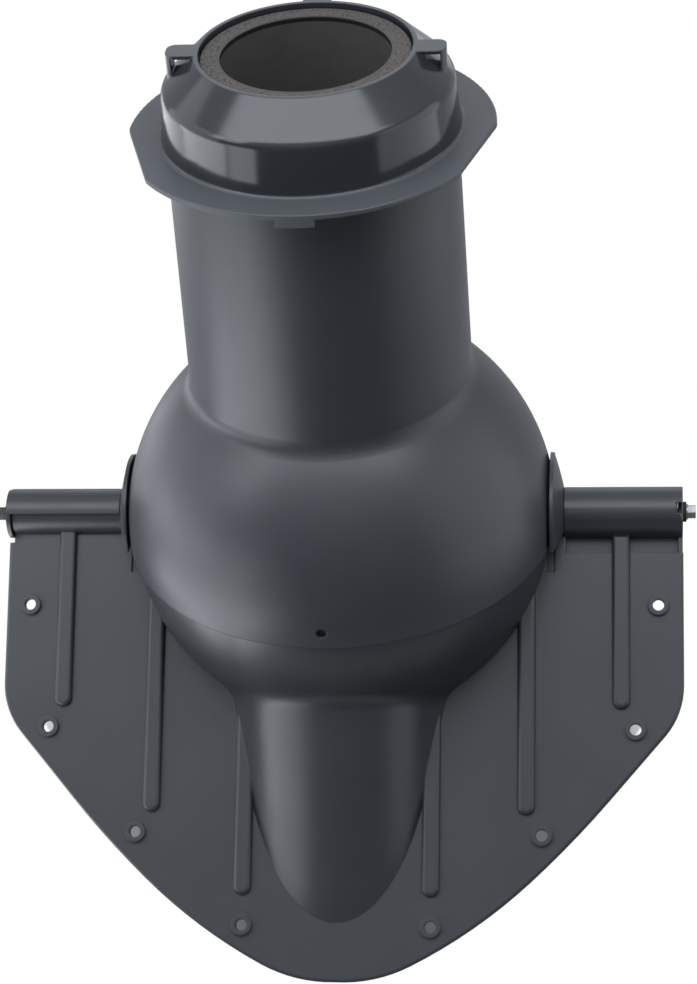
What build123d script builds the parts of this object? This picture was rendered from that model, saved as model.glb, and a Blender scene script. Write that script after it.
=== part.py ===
from build123d import *
from math import asin, cos, radians, sin, sqrt, tan
import os

# Insulated vent pipe that stands on a roof ridge. All sizes are in millimetres.
# The origin is on the ridge hinge axis, halfway along it. X runs along the ridge,
# Z is up, and the front roof slope falls away towards minus Y.

# Clearances
running_gap = 0.1
sliding_gap = 0.3
shell_gap = 0.6
fit_gap = 0.05

# Roof slopes
roof_pitch = 45.0

# Casing: ball and tube
wall = 3.0
ball_r = 172.0
ball_end_inset = 5.0
end_wall = 3.5
ball_rim_z = -5.0
tube_foot_r = 110.1
tube_top_r = 108.0
tube_bury = 12.0
tube_top_z = 342.2
neck_fillet = 18.0
ear_r = 18.0
trunnion_bore_r = 10.9
trunnion_length = 10.0
lock_hole_r = 4.0
lock_hole_z = 9.0

# Duct and insulation
duct_bore_r = 62.5
duct_wall = 2.0
insulation_r = 76.4
insulation_top_z = 404.7
rim_depth = 12.0
grip_height = 3.0
duct_bottom_z = -120.0

# Collar
rim_z = 408.8
rim_bore_r = 78.0
rim_r = 81.3
shoulder_r = 107.2
shoulder_z = 384.4
band_foot_r = 110.4
collar_wall = 3.0
shoulder_fillet = 10.0
foot_fillet = 3.0
flange_r = 136.0
flange_thick = 3.8
flange_flat = 129.7
flange_flat_turn = 73.0
flange_corner = 18.0
skirt_length = 14.0
lug_width = 20.0
lug_reach = 102.0
lug_wall = 4.2
lug_plate = 2.6
lug_foot_z = 389.3
lug_corner = 7.0
tab_from_x = -13.0
tab_to_x = 15.0
tab_drop = 6.0
tab_thick = 3.0

# Wing plate, measured in its own plane: t runs down the slope from the hinge axis
plate_thick = 3.0
lip_depth = 6.0
lip_width = 3.0
plate_half_width = 272.5
plate_shoulder_t = 138.0
corner_inset = 14.5
corner_end_t = 178.0
side_line_x = 214.0
side_line_t = 229.3
side_arc_x = 152.0
side_arc_t = 293.8
tip_arc_x = 59.0
tip_arc_t = 359.2
plate_tip_t = 372.4
edge_round = 2.4

# Dome and nose of the wing
dome_wall = 3.0
dome_sweep = 56.0
dome_end_gap = 0.6
dome_axis_room = 12.0
nose_half_width = 78.0
nose_half_length = 185.0
nose_centre_t = 141.6
nose_rise = 19.5
nose_fillet = 20.0
nose_start_t = 100.0
nose_flank_t = 225.0
nose_root = 6.5

# Hinge barrels
barrel_r = 20.0
barrel_wall = 2.7
inner_barrel_wall = 3.0
hub_r = 48.0
hub_disc = 3.0
hub_groove = 0.8
hub_neck_r = 38.0
hub_bulge = 1.6
hub_end_x = 178.3
plate_recess = 1.6
barrel_inset = 0.5
cap_thick = 3.5
cap_gap = 0.6
inner_end_wall = 3.0
shell_sweep = 191.0
cap_round = 6.0
gutter_t = 33.0
gutter_depth = 7.0
gutter_wall = 3.0
window_width = 8.5
window_inboard = 1.8
window_length = 4.3
window_floor = 7.0
corner_notch_t = 24.0

# Ribs and screw bosses
rib_pitch = 74.4
rib_width = 14.0
rib_height = 5.0
rib_round = 3.4
rib_ends = (305.5, 241.0, 157.5)
rib_starts = (150.0, 60.0, 12.0)
boss_r = 8.2
boss_height = 3.3
boss_bore_r = 4.5
tip_bosses = ((74.5, 329.2), (161.2, 257.1))
side_bosses = ((38.1, 173.8), (19.9, 75.1))

# Hinge hardware
bolt_r = 3.0
bolt_head_width = 10.0
bolt_head_height = 4.0
rubber_r = 8.0
rubber_thick = 3.0
steel_r = 6.2
steel_thick = 1.3
nut_height = 6.0

# Sizes that follow from the ones above
ball_end_x = ball_r - ball_end_inset
tube_foot_z = sqrt(ball_r ** 2 - tube_foot_r ** 2) - tube_bury
dome_r = ball_r - wall - shell_gap
dome_inner_r = dome_r - dome_wall
nose_tip_t = nose_centre_t + nose_half_length
nose_tip_along = nose_tip_t * cos(radians(nose_rise))
nose_tip_across = nose_tip_t * sin(radians(nose_rise))
nose_reach = nose_tip_along - sqrt(dome_inner_r ** 2 - nose_tip_across ** 2) + nose_root
corner_end_x = plate_half_width - corner_inset
boss_places = tip_bosses + tuple((plate_half_width - inset, t) for inset, t in side_bosses)
barrel_end_x = plate_half_width - barrel_inset
casing_half_x = ball_end_x - end_wall
dome_half_x = casing_half_x - dome_end_gap
inner_start_x = ball_end_x + sliding_gap
hub_disc_x = ball_end_x + hub_groove
hub_foot_x = hub_disc_x + hub_disc
shell_start_x = hub_end_x + sliding_gap
sleeve_bore_r = barrel_r - barrel_wall
inner_barrel_r = sleeve_bore_r - sliding_gap
inner_bore_r = inner_barrel_r - inner_barrel_wall
trunnion_r = inner_bore_r - running_gap
cap_x = barrel_end_x - cap_thick
inner_end_x = cap_x - cap_gap
flange_z = tube_top_z + flange_thick
rim_foot_z = rim_z - rim_depth
duct_r = duct_bore_r + duct_wall
rubber_x = barrel_end_x
steel_x = rubber_x + rubber_thick
nut_x = steel_x + steel_thick
bolt_end_x = nut_x + nut_height


def x_cylinder(radius, x_from, x_to):
    """Cylinder along the ridge axis between two x places."""
    middle = (x_from + x_to) / 2
    return Location((middle, 0, 0), (0, 90, 0)) * Cylinder(radius, abs(x_to - x_from))


def x_ring(outer, inner, x_from, x_to):
    """Ring round the ridge axis between two x places."""
    return x_cylinder(outer, x_from, x_to) - x_cylinder(inner, x_from - 1, x_to + 1)


def upright(radius, z_from, z_to):
    """Cylinder round the pipe axis between two heights."""
    return Pos(0, 0, (z_from + z_to) / 2) * Cylinder(radius, z_to - z_from)


def block(x_from, x_to, y_from, y_to, z_from, z_to):
    """Box given by its two corners."""
    middle = ((x_from + x_to) / 2, (y_from + y_to) / 2, (z_from + z_to) / 2)
    return Pos(*middle) * Box(x_to - x_from, y_to - y_from, z_to - z_from)


def ball_and_tube(ball, foot, top, top_z, neck):
    """Solid ball with a slightly tapered tube on it and a rounded neck between them."""
    height = top_z - tube_foot_z
    tube = Pos(0, 0, tube_foot_z + height / 2) * Cone(foot, top, height)
    body = Sphere(ball) + tube
    rings = [e for e in body.edges().filter_by(GeomType.CIRCLE) if abs(e.radius - foot) < 3]
    neck_edge = min(rings, key=lambda e: e.center().Z)
    return fillet(neck_edge, neck)


def casing():
    outer = ball_and_tube(ball_r, tube_foot_r, tube_top_r, tube_top_z, neck_fillet)
    inner_r = ball_r - wall
    inner = ball_and_tube(inner_r, tube_foot_r - wall, tube_top_r - wall, tube_top_z + 1, neck_fillet + wall)
    reach = 2 * ball_r
    outer &= block(-ball_end_x, ball_end_x, -reach, reach, ball_rim_z, tube_top_z)
    inner &= block(-casing_half_x, casing_half_x, -reach, reach, -reach, tube_top_z + 1)
    body = outer - inner
    cover = hub() & block(0, reach, -reach, reach, ball_rim_z, reach)
    for side in (-1, 1):
        body += x_cylinder(ear_r, side * casing_half_x, side * ball_end_x)
        body += Rot(0, 0, 90 - side * 90) * cover
        body -= x_ring(sleeve_bore_r, trunnion_r, side * ball_end_x, side * (hub_end_x + 1))
        body += x_cylinder(trunnion_r, side * casing_half_x, side * (ball_end_x + trunnion_length))
    body -= x_cylinder(trunnion_bore_r, -reach, reach)
    body -= Location((0, -ball_r, lock_hole_z), (90, 0, 0)) * Cylinder(lock_hole_r, 4 * wall)
    return body


def hub():
    """Disc and cone-shaped cover at the plus X end of the ball, with a thin groove behind the disc."""
    end_r = barrel_r - 0.5
    middle_x = (hub_foot_x + hub_end_x) / 2
    middle_r = (hub_r - 1 + end_r) / 2 + hub_bulge
    outline = Polyline(
        (hub_foot_x, hub_r - 1), (hub_foot_x, hub_r), (hub_disc_x, hub_r), (hub_disc_x, hub_neck_r),
        (ball_end_x - 1, hub_neck_r), (ball_end_x - 1, 0), (hub_end_x, 0), (hub_end_x, end_r))
    curve = ThreePointArc((hub_end_x, end_r), (middle_x, middle_r), (hub_foot_x, hub_r - 1))
    return revolve(make_face([outline, curve]), Axis.X)


def collar():
    slope = (shoulder_z - rim_z) / (shoulder_r - rim_r)
    inset = collar_wall * sqrt(1 + slope * slope)
    inner_shoulder_r = shoulder_r - collar_wall
    inner_shoulder_z = shoulder_z - inset - slope * collar_wall
    inner_start_z = rim_z - inset
    foot_end_r = band_foot_r + foot_fillet + 1
    outline = Polyline(
        (rim_bore_r, rim_z), (rim_r, rim_z), (shoulder_r, shoulder_z), (band_foot_r, flange_z),
        (foot_end_r, flange_z), (foot_end_r, tube_top_z), (band_foot_r - collar_wall, tube_top_z),
        (inner_shoulder_r, inner_shoulder_z), (rim_r, inner_start_z), (rim_r, rim_foot_z),
        (insulation_r, rim_foot_z), (insulation_r, rim_foot_z + grip_height),
        (rim_bore_r, rim_foot_z + grip_height), close=True)
    profile = make_face(outline)
    rounds = (
        ((shoulder_r, shoulder_z), shoulder_fillet),
        ((inner_shoulder_r, inner_shoulder_z), shoulder_fillet - collar_wall),
        ((band_foot_r, flange_z), foot_fillet))
    for (r, z), radius in rounds:
        corner = profile.vertices().sort_by_distance(Vector(r, z, 0))[0]
        profile = fillet(corner, radius)
    shell = revolve(Plane.XZ * profile, Axis.Z)

    sheet = Circle(flange_r)
    for turn in (-flange_flat_turn, flange_flat_turn):
        sheet -= Rot(0, 0, turn) * Pos(0, -flange_flat - flange_r) * Rectangle(2 * flange_r, 2 * flange_r)
    sheet = fillet(sheet.vertices(), flange_corner)
    sheet -= Circle(band_foot_r - collar_wall / 2)
    flange = Pos(0, 0, tube_top_z) * extrude(sheet, flange_thick)
    flange = fillet(flange.edges().group_by(Axis.Z)[-1].filter_by(GeomType.CIRCLE, reverse=True), 1)

    skirt_r = tube_top_r - wall - sliding_gap
    skirt = upright(skirt_r, tube_top_z - skirt_length, tube_top_z + collar_wall)
    skirt -= upright(skirt_r - collar_wall, tube_top_z - skirt_length - 1, tube_top_z + 2 * collar_wall)
    seat = upright(band_foot_r - 1, tube_top_z, tube_top_z + collar_wall)
    seat -= upright(skirt_r - collar_wall, tube_top_z - 1, tube_top_z + 2 * collar_wall)
    body = shell + flange + skirt + seat

    tab = pipe(flange_r, flange_r - tab_thick, tube_top_z - tab_drop, flange_z - 1)
    body += tab & block(tab_from_x, tab_to_x, -2 * flange_r, 0, 0, flange_z)
    for turn in (0, 90, 180):
        body += Rot(0, 0, turn) * strap_lug()
    return body


def strap_lug():
    """Belt loop on the collar's cone: a thin top plate and an outer wall, open at both sides."""
    length = lug_reach - rim_bore_r - 2
    plan = Pos(lug_reach - length / 2, 0) * Rectangle(length, lug_width)
    ends = plan.vertices().sort_by(Axis.X)[-2:]
    plan = fillet(ends, lug_corner)
    lug = Pos(0, 0, lug_foot_z) * extrude(plan, rim_z - lug_foot_z)
    pocket_x = lug_reach - lug_wall
    lug -= block(0, pocket_x, -lug_width, lug_width, lug_foot_z - 1, rim_z - lug_plate)
    return lug


def pipe(outer, inner, z_from, z_to):
    return upright(outer, z_from, z_to) - upright(inner, z_from - 1, z_to + 1)


def plate_outline():
    """Outline of the wing plate. The slope runs towards minus Y."""
    top_left = Vector(-plate_half_width, -corner_notch_t)
    inner_step = inner_end_x + sliding_gap
    mouth_t = inner_bore_r - 4
    gutter_x = shell_start_x + 1
    top = Polyline(
        (plate_half_width, -plate_shoulder_t), (plate_half_width, -gutter_t), (gutter_x, -gutter_t),
        (gutter_x, -mouth_t), (-inner_step, -mouth_t), (-inner_step, -corner_notch_t),
        (top_left.X, top_left.Y), (-plate_half_width, -plate_shoulder_t))
    left_corner = TangentArc(
        (-plate_half_width, -plate_shoulder_t), (-corner_end_x, -corner_end_t), tangent=(0, -1))
    left_side = Line((-corner_end_x, -corner_end_t), (-side_line_x, -side_line_t))
    left_arc = TangentArc(left_side @ 1, (-side_arc_x, -side_arc_t), tangent=left_side % 1)
    left_flank = TangentArc(left_arc @ 1, (-tip_arc_x, -tip_arc_t), tangent=left_arc % 1)
    left_tip = TangentArc(left_flank @ 1, (0, -plate_tip_t), tangent=left_flank % 1)
    left = [left_corner, left_side, left_arc, left_flank, left_tip]
    right = [mirror(curve, Plane.YZ) for curve in left]
    return make_face([top] + left + right)


def plate():
    outline = plate_outline()
    slab = Pos(0, 0, -lip_depth) * extrude(outline, lip_depth)
    rim = slab.faces().sort_by(Axis.Z)[-1].outer_wire().edges()
    soft = [e for e in rim if e.center().Y < -gutter_t - 1]
    slab = fillet(soft, edge_round)
    hollow = offset(outline, -lip_width)
    hollow += Pos(0, -gutter_t) * Rectangle(2 * (plate_half_width - lip_width), 3 * gutter_t)
    slab -= Pos(0, 0, -lip_depth - 1) * extrude(hollow, lip_depth + 1 - plate_thick)
    return slab


def nose_plan(half_width, half_length):
    """Plan of the nose on the plate: a half oval with straight flanks that widen towards the dome."""
    lower = nose_flank_t - nose_centre_t
    turn = asin(lower / half_length)
    flank_x = half_width * cos(turn)
    spread = half_width ** 2 * lower / (half_length ** 2 * flank_x)
    top_x = flank_x + spread * (nose_flank_t - nose_start_t)
    oval = Pos(0, -nose_centre_t) * Rot(0, 0, 90) * Ellipse(half_length, half_width)
    flanks = make_face(Polyline(
        (flank_x, -nose_flank_t), (top_x, -nose_start_t), (-top_x, -nose_start_t), (-flank_x, -nose_flank_t),
        close=True))
    below_start = Pos(0, -nose_start_t - half_length) * Rectangle(4 * half_width, 2 * half_length)
    return (oval + flanks) & below_start


def nose_prism(half_width, half_length, base_h):
    """Slanting spout on that plan, cut off flat at the height base_h."""
    run = base_h / tan(radians(nose_rise))
    plan = Pos(0, run) * nose_plan(half_width, half_length)
    climb = Vector(0, cos(radians(nose_rise)), sin(radians(nose_rise)))
    length = nose_reach - base_h / sin(radians(nose_rise))
    return Pos(0, 0, base_h) * extrude(plan, length, dir=climb)


def bump(radius, half_width, half_length, blend):
    """Ball with the nose run into it by a rounded valley."""
    nose = nose_prism(half_width, half_length, -4 * plate_thick)
    body = Sphere(radius) + nose
    valley = []
    for edge in body.edges():
        middle = edge @ 0.5
        on_ball = abs(middle.length - radius) < 0.01
        if on_ball and middle.Y < -nose_start_t / 2:
            valley.append(edge)
    return fillet(valley, blend)


def below_sweep(body, sweep):
    """Keep what lies between the plate and the plane through the axis at that angle."""
    size = 4 * ball_r
    keep = Rot(-sweep, 0, 0) * block(-size, size, -size, size, -size, 0)
    return body & keep


def outer_knuckle():
    """Half shell, gutter and end cap of the outer barrel, on the plus X side."""
    section = Plane.YZ * barrel_section()
    shell = Pos(shell_start_x, 0, 0) * extrude(section, cap_x - shell_start_x + 1, dir=(1, 0, 0))
    body = shell + x_cylinder(barrel_r, cap_x, barrel_end_x)
    body += block(cap_x, barrel_end_x, -gutter_t - gutter_wall, 0, -gutter_depth - gutter_wall, 0)
    body &= knuckle_envelope()
    body -= x_cylinder(sleeve_bore_r, shell_start_x - 1, cap_x)
    window_x = cap_x - window_inboard
    body -= block(window_x, window_x + window_length, -window_width / 2, window_width / 2,
                  window_floor, 2 * barrel_r)
    body -= x_cylinder(bolt_r + running_gap, cap_x - 1, barrel_end_x + 1)
    return body


def barrel_section():
    """Section of the outer barrel seen along the ridge: half ring, front wall and gutter."""
    ring = Circle(barrel_r) - Circle(sleeve_bore_r)
    spare = shell_sweep - 180
    lower = Pos(0, -barrel_r) * Rectangle(4 * barrel_r, 2 * barrel_r)
    tongue = Rot(0, 0, -spare) * lower
    ring -= tongue & lower
    ring -= Pos(-barrel_r, -barrel_r) * Rectangle(2 * barrel_r, 2 * barrel_r)
    floor_h = -gutter_depth - gutter_wall
    ring += Pos(-(barrel_r + sleeve_bore_r) / 2, floor_h / 2) * Rectangle(barrel_wall, -floor_h)
    floor_mid = -(sleeve_bore_r + gutter_t + gutter_wall) / 2
    floor_width = gutter_t + gutter_wall - sleeve_bore_r
    ring += Pos(floor_mid, floor_h + gutter_wall / 2) * Rectangle(floor_width, gutter_wall)
    ring += Pos(-gutter_t - gutter_wall / 2, floor_h / 2) * Rectangle(gutter_wall, -floor_h)
    return ring


def knuckle_envelope():
    """Side view outline of the outer barrel: its end is rounded where it turns down."""
    reach = 3 * barrel_r
    profile = Rectangle(2 * plate_half_width, 2 * barrel_r + reach)
    profile = Pos(0, barrel_r - (2 * barrel_r + reach) / 2) * profile
    tops = profile.vertices().group_by(Axis.Y)[-1].sort_by(Axis.X)[-1:]
    profile = fillet(tops, cap_round)
    profile = Plane.XZ * profile
    return Pos(0, reach, 0) * extrude(profile, 2 * reach, dir=(0, -1, 0))


def ribs():
    bars = []
    for index, (start, end) in enumerate(zip(rib_starts, rib_ends)):
        for side in (-1, 1):
            on_gutter = side > 0 and index == 2
            from_t = barrel_r - 1 if on_gutter else start
            x = side * rib_pitch * (index + 1)
            length = end - from_t
            bar = Rectangle(rib_width, length)
            bar = Pos(x, -(from_t + end) / 2) * bar
            low = bar.vertices().group_by(Axis.Y)[0]
            bar = fillet(low, rib_width / 2 - 0.1)
            solid = Pos(0, 0, -1) * extrude(bar, rib_height + 1)
            top = solid.faces().sort_by(Axis.Z)[-1].outer_wire().edges()
            solid = fillet(top, rib_round)
            bars.append(solid)
            if on_gutter:
                bars.append(block(x - rib_width / 2, x + rib_width / 2, -gutter_t - 1, -from_t,
                                  -gutter_depth - 1, 0))
    return bars


def casing_rooms(body):
    """Rooms in the wing for the casing's ears, and a shallow recess below each of its discs."""
    for side in (-1, 1):
        from_x = side * (casing_half_x - sliding_gap)
        body -= x_cylinder(ear_r + shell_gap, from_x, side * inner_start_x)
        recess = x_cylinder(hub_r, from_x, side * hub_foot_x)
        body -= recess & block(-2 * ball_r, 2 * ball_r, -ball_r, 0, -plate_recess, ball_r)
    body -= x_cylinder(dome_axis_room, -dome_half_x - 1, dome_half_x + 1)
    return body


def wing():
    """One wing flat in the XY plane, its slope running towards minus Y, hinge axis on X."""
    outer = bump(dome_r, nose_half_width, nose_half_length, nose_fillet)
    size = 4 * ball_r
    outer &= block(-dome_half_x, dome_half_x, -size, 0, -plate_thick, size)
    outer = below_sweep(outer, dome_sweep)
    inner_length = nose_half_length - dome_wall / sin(radians(nose_rise))
    inner = bump(dome_r - dome_wall, nose_half_width - dome_wall, inner_length, nose_fillet + dome_wall)
    inner_half_x = dome_half_x - dome_wall
    inner &= block(-inner_half_x, inner_half_x, -size, size, -size, size)

    body = plate() + outer
    for bar in ribs():
        body += bar
    for x, t in boss_places:
        for side in (-1, 1):
            body += Pos(side * x, -t, boss_height / 2 - 0.5) * Cylinder(boss_r, boss_height + 1)
    body -= inner
    body = casing_rooms(body)
    body -= x_cylinder(sleeve_bore_r, inner_start_x, cap_x)
    body += outer_knuckle()
    body += x_cylinder(inner_barrel_r, -inner_end_x, -inner_start_x)
    body -= x_cylinder(inner_bore_r, -inner_end_x + inner_end_wall, -ball_end_x)
    body -= x_cylinder(bolt_r + running_gap, -inner_end_x - 1, -inner_end_x + inner_end_wall + 1)
    for x, t in boss_places:
        for side in (-1, 1):
            body -= Pos(side * x, -t, 0) * Cylinder(boss_bore_r, 4 * lip_depth)
    return body


def hinge_bolt():
    """Bolt on the minus X side: hexagon head inside the inner barrel."""
    head_x = -inner_end_x + inner_end_wall
    head = extrude(RegularPolygon(bolt_head_width / 2, 6, major_radius=False), bolt_head_height)
    head = Location((head_x, 0, 0), (0, 90, 0)) * head
    return head + x_cylinder(bolt_r, -bolt_end_x, head_x)


def hinge_nut():
    nut = extrude(RegularPolygon(bolt_head_width / 2, 6, major_radius=False), nut_height)
    nut -= Cylinder(bolt_r, 4 * nut_height)
    return Location((-nut_x, 0, 0), (0, -90, 0)) * nut


def washer(radius, x_from, thick):
    return x_ring(radius, bolt_r + fit_gap, -x_from - thick, -x_from)


def save(name, body):
    export_step(body, "parts/" + name + ".step")


os.makedirs("parts", exist_ok=True)
half_turn = Rot(0, 0, 180)
lean = Rot(roof_pitch, 0, 0)
front = lean * wing()

save("casing", casing())
save("top_collar", collar())
save("inner_pipe", pipe(duct_r, duct_bore_r, duct_bottom_z, insulation_top_z))
save("insulation_sleeve", pipe(insulation_r, duct_r, duct_bottom_z, insulation_top_z))
save("front_wing", front)
save("rear_wing", half_turn * front)

hardware = {
    "hinge_bolt": hinge_bolt(),
    "hinge_nut": hinge_nut(),
    "rubber_washer": washer(rubber_r, rubber_x, rubber_thick),
    "steel_washer": washer(steel_r, steel_x, steel_thick),
}
for name, piece in hardware.items():
    save("left_" + name, piece)
    save("right_" + name, half_turn * piece)
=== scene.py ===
import math
import bpy
from mathutils import Matrix, Vector


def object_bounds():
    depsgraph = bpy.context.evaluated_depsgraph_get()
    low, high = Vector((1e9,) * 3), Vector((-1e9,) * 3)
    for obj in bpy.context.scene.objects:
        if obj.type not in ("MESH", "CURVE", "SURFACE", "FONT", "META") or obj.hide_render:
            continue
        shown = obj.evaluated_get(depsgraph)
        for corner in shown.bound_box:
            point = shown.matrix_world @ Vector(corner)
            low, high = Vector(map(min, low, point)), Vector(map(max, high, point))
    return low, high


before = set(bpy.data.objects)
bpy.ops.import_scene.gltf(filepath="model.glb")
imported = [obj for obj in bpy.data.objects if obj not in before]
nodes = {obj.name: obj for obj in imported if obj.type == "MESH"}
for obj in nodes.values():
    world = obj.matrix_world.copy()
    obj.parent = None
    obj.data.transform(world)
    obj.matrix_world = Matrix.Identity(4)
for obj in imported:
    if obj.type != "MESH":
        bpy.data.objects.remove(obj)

cad_box = [list(corner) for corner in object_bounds()]

# Graphite plastic: nearly black by itself, and grey from what it reflects
GRAPHITE = (0.022, 0.024, 0.028, 1)
GRAPHITE_PALE = (0.027, 0.030, 0.034, 1)
CASING_GREY = (0.025, 0.027, 0.032, 1)
CASING_PALE = (0.031, 0.034, 0.039, 1)
# Painted light: a paler grey of the same plastic, for the light falling on the flange's upper face
FLANGE_LIT_GREY = (0.054, 0.059, 0.065, 1)
FOAM = (0.100, 0.092, 0.084, 1)
FOAM_DARK = (0.044, 0.040, 0.037, 1)
DUCT = (0.070, 0.066, 0.060, 1)
DUCT_DARK = (0.046, 0.043, 0.040, 1)
# Black of the painted shadow in the gap at the duct's top
GAP_SHADOW_BLACK = (0.004, 0.004, 0.004, 1)
ZINC = (0.36, 0.36, 0.36, 1)
ZINC_DULL = (0.27, 0.27, 0.27, 1)
# Painted shade: steel coloured nearly black for the shade the left hinge sits in
SHADED_STEEL_PAINT = (0.060, 0.060, 0.063, 1)
RUBBER = (0.018, 0.018, 0.019, 1)

# Height of the collar flange's upper face, in metres
FLANGE_TOP = 0.3460

# Colour of the studio's light
DAYLIGHT = (0.96, 1.0, 1.07)

# The nose of a wing seen from above: half an oval, in metres
NOSE_HALF_WIDTH = 0.078
NOSE_MIDDLE_Y = 0.100
NOSE_LENGTH_Y = 0.130
NOSE_CROWN = 1.1

# The photo's camera: angles in degrees, focal length and height in pixels, place in metres
CAMERA_TURN = 7.55
CAMERA_RISE = 34.34
CAMERA_ROLL = 4.47
FOCAL_LENGTH = 2700.0
PHOTO_HEIGHT = 984.0
SENSOR_HEIGHT = 36.0
CAMERA_PLACE = (0.2409, -1.7706, 1.2404)

# White floor, and the part of it under the object that keeps its shadow, darkened with painted shade
FLOOR_RADIUS = 0.52
FLOOR_GAP = 0.002
SHADE_FRONT = 0.262
SHADE_ROUNDING = 0.24
SHADE_HALF_WIDTH = 0.308
SHADE_BACK = 0.36
SHADE_SHIFT = 0.021
SHADE_SLANT = 0.08
SHADED_SHARE = 0.05
WHITE_SHARE = 0.95


class Finish:
    """A material with its nodes, built up one step at a time."""

    def __init__(self, name, roughness, metallic=0.0, level=0.5):
        self.material = bpy.data.materials.new(name)
        self.material.use_nodes = True
        self.tree = self.material.node_tree
        self.shader = self.tree.nodes["Principled BSDF"]
        self.shader.inputs["Roughness"].default_value = roughness
        self.shader.inputs["Metallic"].default_value = metallic
        self.shader.inputs["Specular IOR Level"].default_value = level
        self.place = self.add("ShaderNodeTexCoord").outputs["Object"]

    def add(self, kind, **settings):
        node = self.tree.nodes.new(kind)
        for name, value in settings.items():
            setattr(node, name, value)
        return node

    def join(self, source, target):
        self.tree.links.new(source, target)

    def noise(self, scale, detail=3.0, rough=0.5):
        noise = self.add("ShaderNodeTexNoise")
        noise.inputs["Scale"].default_value = scale
        noise.inputs["Detail"].default_value = detail
        noise.inputs["Roughness"].default_value = rough
        self.join(self.place, noise.inputs["Vector"])
        return noise.outputs["Fac"]

    def cells(self, scale):
        cells = self.add("ShaderNodeTexVoronoi", feature="F1")
        cells.inputs["Scale"].default_value = scale
        self.join(self.place, cells.inputs["Vector"])
        return cells.outputs["Distance"]

    def spread(self, value, low, high, to_low, to_high):
        part = self.add("ShaderNodeMapRange")
        part.inputs["From Min"].default_value = low
        part.inputs["From Max"].default_value = high
        part.inputs["To Min"].default_value = to_low
        part.inputs["To Max"].default_value = to_high
        self.join(value, part.inputs["Value"])
        return part.outputs["Result"]

    def tint(self, value, first, second, low=0.3, high=0.7):
        ramp = self.add("ShaderNodeValToRGB")
        ramp.color_ramp.elements[0].position = low
        ramp.color_ramp.elements[0].color = first
        ramp.color_ramp.elements[1].position = high
        ramp.color_ramp.elements[1].color = second
        self.join(value, ramp.inputs["Fac"])
        self.join(ramp.outputs["Color"], self.shader.inputs["Base Color"])

    def rough(self, value, least, most):
        self.join(self.spread(value, 0.3, 0.7, least, most), self.shader.inputs["Roughness"])

    def calc(self, operation, first, second=0.0):
        """One sum on two values, each a number or a socket."""
        node = self.add("ShaderNodeMath", operation=operation)
        for index, value in enumerate((first, second)):
            if isinstance(value, float):
                node.inputs[index].default_value = value
            else:
                self.join(value, node.inputs[index])
        return node.outputs[0]

    def axes(self):
        split = self.add("ShaderNodeSeparateXYZ")
        self.join(self.place, split.inputs[0])
        return split.outputs

    def soft_edges(self, radius):
        """Normals rounded at the edges, so that moulded rims catch the light."""
        bevel = self.add("ShaderNodeBevel", samples=4)
        bevel.inputs["Radius"].default_value = radius
        return bevel.outputs["Normal"]

    def bump(self, value, strength, depth, under=None):
        bump = self.add("ShaderNodeBump")
        bump.inputs["Strength"].default_value = strength
        bump.inputs["Distance"].default_value = depth
        self.join(value, bump.inputs["Height"])
        if under:
            self.join(under, bump.inputs["Normal"])
        self.join(bump.outputs["Normal"], self.shader.inputs["Normal"])
        return bump.outputs["Normal"]


def nose_crown(finish, under):
    """Normals turned as on a rounded top, on the nose of a wing only."""
    axes = finish.axes()
    along = finish.calc("ABSOLUTE", axes["Y"])
    side = finish.calc("DIVIDE", axes["X"], NOSE_HALF_WIDTH)
    past = finish.calc("MAXIMUM", finish.calc("SUBTRACT", along, NOSE_MIDDLE_Y), 0.0)
    ahead = finish.calc("DIVIDE", past, NOSE_LENGTH_Y)
    reach = finish.calc("ADD", finish.calc("MULTIPLY", side, side), finish.calc("MULTIPLY", ahead, ahead))
    inside = finish.spread(reach, 0.88, 1.0, 1.0, 0.0)
    clear_of_dome = finish.spread(along, 0.072, 0.100, 0.0, 1.0)
    height = finish.calc("MULTIPLY", finish.calc("MULTIPLY", axes["X"], axes["X"]), -NOSE_CROWN)
    crown = finish.add("ShaderNodeBump")
    crown.inputs["Distance"].default_value = 1.0
    finish.join(finish.calc("MULTIPLY", inside, clear_of_dome), crown.inputs["Strength"])
    finish.join(height, crown.inputs["Height"])
    finish.join(under, crown.inputs["Normal"])
    return crown.outputs["Normal"]


def satin_plastic(name, colours, least, most, grain, has_nose=False):
    """Moulded plastic with a very fine grain and slow changes in gloss."""
    finish = Finish(name, least)
    finish.tint(finish.noise(7.0, 4.0), *colours)
    finish.rough(finish.noise(16.0, 5.0, 0.6), least, most)
    shape = finish.soft_edges(0.0014)
    if has_nose:
        shape = nose_crown(finish, shape)
    slow = finish.bump(finish.noise(22.0, 2.0), 0.08, 0.0012, shape)
    finish.bump(finish.noise(1500.0, 2.0), grain, 0.0002, slow)
    return finish.material


def glossy_plastic():
    """Smooth plastic of the collar: glossy above, and duller on the flange, which is also painted paler as
    painted light from above.
    """
    finish = Finish("glossy_graphite", 0.14)
    flange = finish.spread(finish.axes()["Z"], FLANGE_TOP + 0.0004, FLANGE_TOP + 0.002, 1.0, 0.0)
    # Painted light: the flange is tinted paler than the rest of the collar
    finish.tint(flange, GRAPHITE, FLANGE_LIT_GREY, 0.0, 1.0)
    uneven = finish.spread(finish.noise(20.0, 4.0), 0.3, 0.7, 0.12, 0.18)
    dull = finish.calc("MULTIPLY", flange, 0.36)
    finish.join(finish.calc("ADD", uneven, dull), finish.shader.inputs["Roughness"])
    finish.bump(finish.noise(26.0, 2.0), 0.05, 0.0010, finish.soft_edges(0.0012))
    return finish.material


def granular_foam():
    finish = Finish("granular_foam", 0.9, level=0.25)
    grains = finish.cells(520.0)
    finish.tint(grains, FOAM, FOAM_DARK, 0.25, 0.85)
    finish.rough(finish.noise(300.0), 0.82, 0.96)
    coarse = finish.bump(grains, 0.5, 0.0006)
    finish.bump(finish.noise(1800.0, 4.0), 0.35, 0.0003, coarse)
    return finish.material


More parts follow.
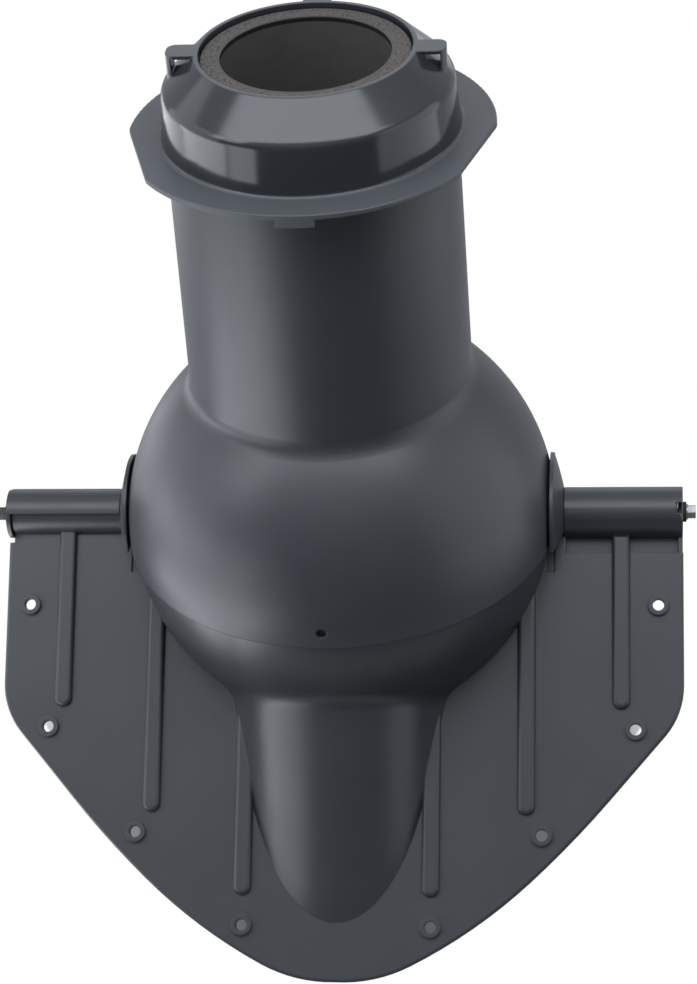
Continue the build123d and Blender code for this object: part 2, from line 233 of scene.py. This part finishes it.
def duct_plastic(top):
    """Dull duct, with painted shadow: black in a band just below its upper edge, for the shade in the gap
    there.
    """
    finish = Finish("duct_plastic", 0.7, level=0.3)
    # Painted shadow: black in a band about 1 to 4 mm below the duct's top edge
    shaded = finish.spread(finish.axes()["Z"], top - 0.0042, top - 0.0036, 0.0, 1.0)
    below = finish.spread(finish.axes()["Z"], top - 0.0010, top - 0.0006, 1.0, 0.0)
    uneven = finish.add("ShaderNodeMix", data_type="RGBA")
    uneven.inputs["A"].default_value = DUCT
    uneven.inputs["B"].default_value = DUCT_DARK
    finish.join(finish.noise(60.0, 5.0, 0.7), uneven.inputs["Factor"])
    colour = finish.add("ShaderNodeMix", data_type="RGBA")
    colour.inputs["B"].default_value = GAP_SHADOW_BLACK
    finish.join(finish.calc("MULTIPLY", shaded, below), colour.inputs["Factor"])
    finish.join(uneven.outputs["Result"], colour.inputs["A"])
    finish.join(colour.outputs["Result"], finish.shader.inputs["Base Color"])
    finish.rough(finish.noise(80.0), 0.62, 0.80)
    finish.bump(finish.noise(700.0, 3.0), 0.12, 0.0003)
    return finish.material


def steel(name, first, second):
    finish = Finish(name, 0.4, metallic=1.0)
    finish.tint(finish.noise(900.0, 4.0), first, second)
    finish.rough(finish.noise(700.0), 0.34, 0.52)
    finish.bump(finish.noise(2200.0, 2.0), 0.1, 0.0001)
    return finish.material


def washer_rubber():
    finish = Finish("washer_rubber", 0.75, level=0.35)
    finish.tint(finish.noise(400.0), RUBBER, (0.026, 0.026, 0.027, 1))
    finish.rough(finish.noise(500.0), 0.68, 0.85)
    finish.bump(finish.noise(1600.0, 3.0), 0.2, 0.0002)
    return finish.material


def dress(node, material):
    slots = nodes[node].material_slots
    for place in slots:
        place.material = material
    if not slots:
        nodes[node].data.materials.append(material)


def dress_all():
    wing_plastic = satin_plastic("wing_graphite", (GRAPHITE, GRAPHITE_PALE), 0.32, 0.41, 0.10, has_nose=True)
    rubber = washer_rubber()
    dress("casing", satin_plastic("casing_graphite", (CASING_GREY, CASING_PALE), 0.36, 0.43, 0.10))
    dress("front_wing", wing_plastic)
    dress("rear_wing", wing_plastic)
    dress("top_collar", glossy_plastic())
    dress("insulation_sleeve", granular_foam())
    dress("inner_pipe", duct_plastic(max(corner[2] for corner in nodes["inner_pipe"].bound_box)))
    # Painted shade: the left hinge's steel is coloured dark for its shade; the right hinge's is bare zinc
    steels = {"left": steel("steel_painted_shade", SHADED_STEEL_PAINT, RUBBER), "right": steel("zinc_steel", ZINC, ZINC_DULL)}
    for side, metal in steels.items():
        dress(side + "_hinge_bolt", metal)
        dress(side + "_hinge_nut", metal)
        dress(side + "_steel_washer", metal)
        dress(side + "_rubber_washer", rubber)


def photo_camera():
    turn, rise, roll = (math.radians(angle) for angle in (CAMERA_TURN, CAMERA_RISE, CAMERA_ROLL))
    level_part = math.cos(rise)
    ahead = Vector((-math.sin(turn) * level_part, math.cos(turn) * level_part, -math.sin(rise)))
    level = Vector((math.cos(turn), math.sin(turn), 0))
    above = level.cross(ahead)
    right = math.cos(roll) * level - math.sin(roll) * above
    up = math.sin(roll) * level + math.cos(roll) * above
    data = bpy.data.cameras.new("photo_camera")
    data.sensor_fit = "VERTICAL"
    data.sensor_height = SENSOR_HEIGHT
    data.lens = FOCAL_LENGTH / PHOTO_HEIGHT * SENSOR_HEIGHT
    data.clip_end = 50.0
    camera = bpy.data.objects.new("photo_camera", data)
    bpy.context.collection.objects.link(camera)
    facing = Matrix((right, up, -ahead)).transposed().to_4x4()
    camera.matrix_world = Matrix.Translation(CAMERA_PLACE) @ facing
    bpy.context.scene.camera = camera


def soft_box(name, place, aim, size, brightness):
    """Soft box at a place, facing along aim, that looks as bright as the number says (1 is white)."""
    data = bpy.data.lights.new(name, "AREA")
    data.shape = "RECTANGLE"
    data.size, data.size_y = size
    data.energy = brightness * math.pi * size[0] * size[1]
    data.color = DAYLIGHT
    light = bpy.data.objects.new(name, data)
    bpy.context.collection.objects.link(light)
    light.rotation_euler = Vector(aim).to_track_quat("-Z", "Y").to_euler()
    light.location = place


def standing_box(name, azimuth, distance, width, low, high, brightness):
    """Upright soft box: azimuth 0 is straight in front of the object, minus is to the left."""
    turn = math.radians(azimuth)
    inward = Vector((-math.sin(turn), math.cos(turn), 0))
    place = -distance * inward + Vector((0, 0, (low + high) / 2))
    soft_box(name, place, inward, (width, high - low), brightness)


def studio_lights():
    ground = cad_box[0][2] + 0.004
    standing_box("left_box", -82, 1.6, 1.35, -0.30, 0.12, 3.9)
    standing_box("front_left_box", -46, 1.6, 0.62, -0.30, 0.20, 2.7)
    standing_box("back_left_box", -125, 1.6, 1.1, -0.45, 0.10, 1.6)
    standing_box("upper_left_box", -92, 1.6, 1.7, 0.15, 1.4, 1.0)
    standing_box("right_box", 86, 1.7, 2.0, -0.7, 1.2, 0.95)
    standing_box("back_box", 180, 2.2, 2.0, 0.1, 1.6, 0.7)
    soft_box("top_box", (0, -0.6, 1.6), (0, 0, -1), (2.7, 0.8), 3.5)
    soft_box("high_left_box", (-1.45, -0.85, 1.25), (0.69, 0.41, -0.60), (0.8, 0.8), 3.2)
    soft_box("low_left_box", (-0.62, -0.375, ground), (0, 0, 1), (0.64, 0.85), 3.9)
    studio_world()


def studio_world():
    """Soft light from above, dark from the front, and white where the camera looks past the floor."""
    world = bpy.data.worlds.new("studio")
    world.use_nodes = True
    tree = world.node_tree
    facing = tree.nodes.new("ShaderNodeTexCoord")
    split = tree.nodes.new("ShaderNodeSeparateXYZ")
    tree.links.new(facing.outputs["Generated"], split.inputs[0])
    brighter = tree.nodes.new("ShaderNodeMath")
    brighter.operation = "MAXIMUM"
    from_above = ("Z", 0.15, 0.9, 0.1, 0.9)
    from_behind = ("Y", -0.4, 0.4, 0.06, 0.5)
    for index, (axis, low, high, least, most) in enumerate((from_above, from_behind)):
        part = tree.nodes.new("ShaderNodeMapRange")
        part.inputs["From Min"].default_value = low
        part.inputs["From Max"].default_value = high
        part.inputs["To Min"].default_value = least
        part.inputs["To Max"].default_value = most
        tree.links.new(split.outputs[axis], part.inputs["Value"])
        tree.links.new(part.outputs["Result"], brighter.inputs[index])
    soft = tree.nodes["Background"]
    soft.inputs["Color"].default_value = (*DAYLIGHT, 1)
    tree.links.new(brighter.outputs[0], soft.inputs["Strength"])
    white = tree.nodes.new("ShaderNodeBackground")
    white.inputs["Color"].default_value = (1, 1, 1, 1)
    white.inputs["Strength"].default_value = 1.0
    rays = tree.nodes.new("ShaderNodeLightPath")
    mix = tree.nodes.new("ShaderNodeMixShader")
    tree.links.new(rays.outputs["Is Camera Ray"], mix.inputs["Fac"])
    tree.links.new(soft.outputs[0], mix.inputs[1])
    tree.links.new(white.outputs[0], mix.inputs[2])
    tree.links.new(mix.outputs[0], tree.nodes["World Output"].inputs["Surface"])
    bpy.context.scene.world = world


def white_floor():
    """White floor: pure white round the object; inside a rounded front and back it shows its real shadow,
    darkened by painted shade.
    """
    finish = Finish("studio_white", 0.9)
    # Painted shade: the floor's own colour is a mid grey, so the shade under the object looks darker
    finish.shader.inputs["Base Color"].default_value = (0.35, 0.35, 0.35, 1)
    axes = finish.axes()
    middle = finish.calc("ADD", finish.calc("MULTIPLY", axes["Y"], SHADE_SLANT), SHADE_SHIFT)
    side = finish.calc("ABSOLUTE", finish.calc("ADD", axes["X"], middle))
    wide = finish.calc("DIVIDE", finish.calc("MULTIPLY", side, side), SHADE_ROUNDING)
    outside = finish.calc("SUBTRACT", wide, finish.calc("ADD", axes["Y"], SHADE_FRONT))
    past_front = finish.spread(outside, -0.036, -0.027, SHADED_SHARE, WHITE_SHARE)
    back = finish.calc("DIVIDE", finish.calc("MAXIMUM", axes["Y"], 0.0), SHADE_BACK)
    half = finish.calc("DIVIDE", side, SHADE_HALF_WIDTH)
    half = finish.calc("MULTIPLY", half, half)
    back = finish.calc("MULTIPLY", back, back)
    past_rest = finish.spread(finish.calc("ADD", half, back), 0.62, 1.0, SHADED_SHARE, WHITE_SHARE)
    share = finish.calc("MAXIMUM", past_front, past_rest)
    rays = finish.add("ShaderNodeLightPath")
    seen = finish.add("ShaderNodeMath", operation="MULTIPLY")
    finish.join(rays.outputs["Is Camera Ray"], seen.inputs[0])
    finish.join(share, seen.inputs[1])
    white = finish.add("ShaderNodeEmission")
    white.inputs["Strength"].default_value = 1.06
    mix = finish.add("ShaderNodeMixShader")
    finish.join(seen.outputs[0], mix.inputs["Fac"])
    finish.join(finish.shader.outputs[0], mix.inputs[1])
    finish.join(white.outputs[0], mix.inputs[2])
    finish.join(mix.outputs[0], finish.tree.nodes["Material Output"].inputs["Surface"])
    return finish.material


def floor(low_z):
    """Round floor, small enough for the low parts of the soft boxes to light the object past its edge."""
    bpy.ops.object.select_all(action="DESELECT")
    bpy.ops.mesh.primitive_circle_add(
        vertices=96, radius=FLOOR_RADIUS, fill_type="NGON", location=(0, 0, low_z)
    )
    sheet = bpy.context.object
    sheet.name = "studio_floor"
    bpy.ops.object.transform_apply(location=True, rotation=True, scale=True)
    sheet.data.materials.append(white_floor())


dress_all()
photo_camera()
studio_lights()
floor(cad_box[0][2] - FLOOR_GAP)

bpy.context.scene.view_settings.view_transform = "Standard"
